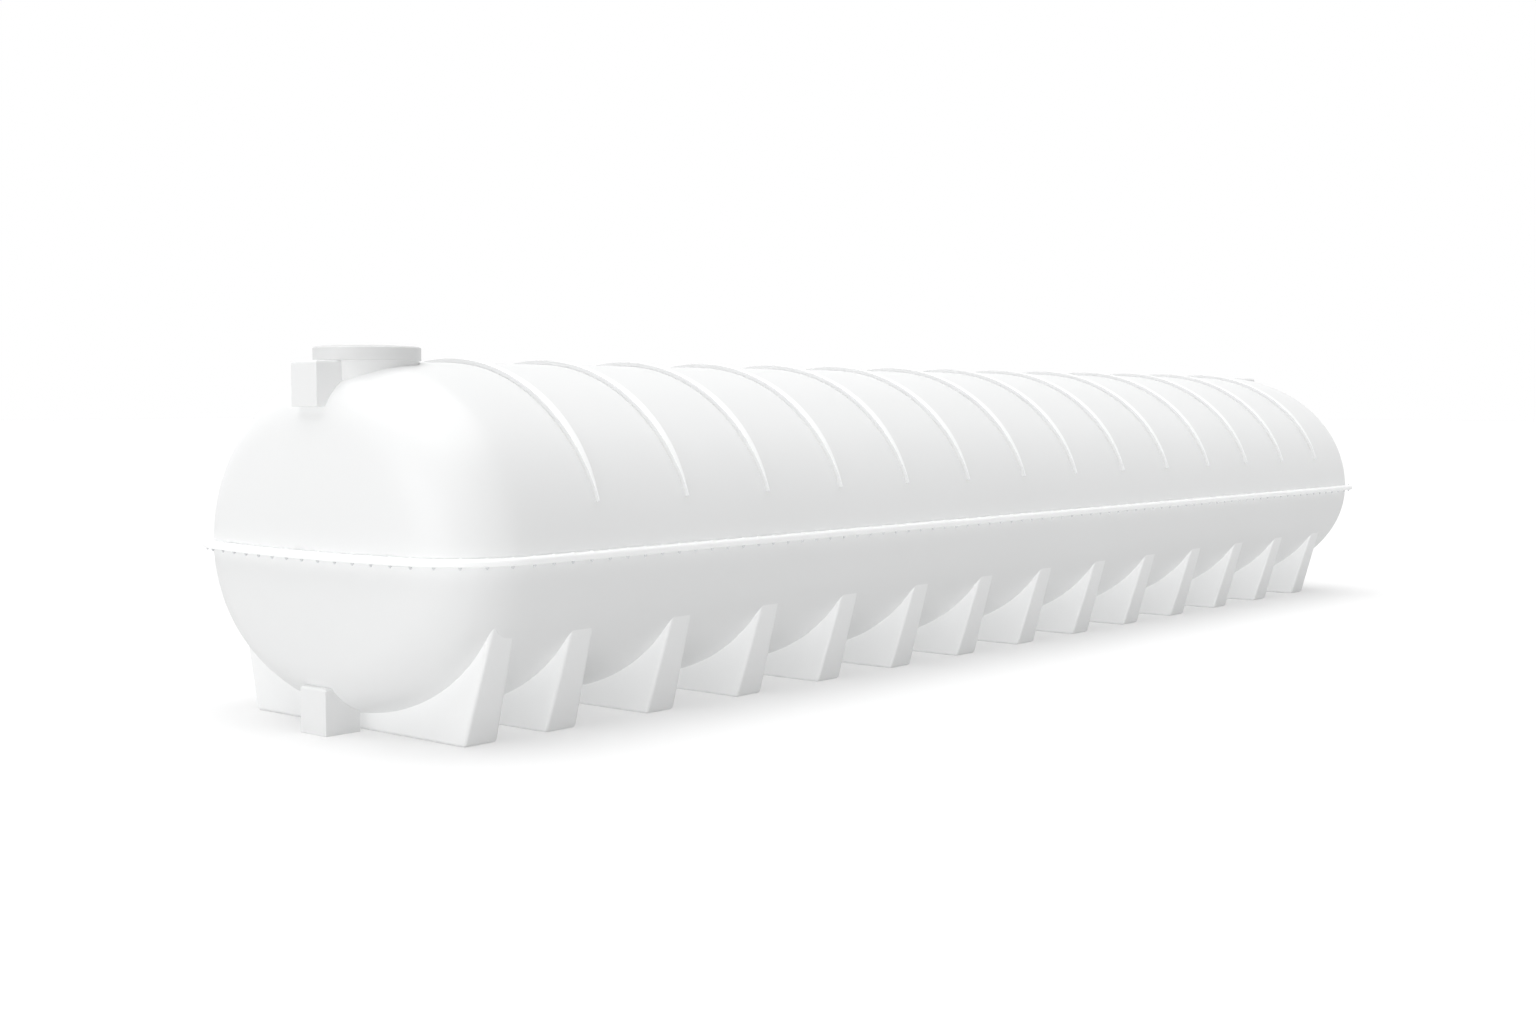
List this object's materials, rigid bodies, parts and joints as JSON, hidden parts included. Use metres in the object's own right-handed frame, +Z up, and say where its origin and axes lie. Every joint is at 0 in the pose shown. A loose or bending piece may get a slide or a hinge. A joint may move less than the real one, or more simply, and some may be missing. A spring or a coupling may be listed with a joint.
{
  "type": "septic tank",
  "caption": "White glass fibre septic tank lying on moulded saddle feet, with a bolted seam, dished ends, stiffening ribs and a round manhole.",
  "frame": {"origin": "on the ground under the middle of the tank", "axes": "+X along the tank, away from the manhole end; +Z up"},
  "size_m": [12.03, 2.73, 2.229],
  "materials": {
    "shell": "white gel coat",
    "flange": "white gel coat",
    "gasket": "white sealing strip",
    "foot": "white gel coat",
    "rib": "white gel coat",
    "collar": "white gel coat",
    "lid": "white moulded",
    "boss": "white gel coat"
  },
  "bodies": {
    "root": {"upper_barrel": "shell", "lower_barrel": "shell", "near_upper_end": "shell", "far_upper_end": "shell", "near_lower_end": "shell", "far_lower_end": "shell", "upper_flange": "flange", "lower_flange": "flange", "flange_gasket": "gasket", "saddle_01": "foot", "saddle_02": "foot", "saddle_03": "foot", "saddle_04": "foot", "saddle_05": "foot", "saddle_06": "foot", "saddle_07": "foot", "saddle_08": "foot", "saddle_09": "foot", "saddle_10": "foot", "saddle_11": "foot", "saddle_12": "foot", "saddle_13": "foot", "saddle_14": "foot", "rib_01": "rib", "rib_02": "rib", "rib_03": "rib", "rib_04": "rib", "rib_05": "rib", "rib_06": "rib", "rib_07": "rib", "rib_08": "rib", "rib_09": "rib", "rib_10": "rib", "rib_11": "rib", "rib_12": "rib", "rib_13": "rib", "rib_14": "rib", "manhole_neck": "collar", "manhole_lid": "lid", "near_upper_pad": "boss", "near_lower_pad": "boss", "far_upper_pad": "boss", "far_lower_pad": "boss"}
  },
  "joints": []
}
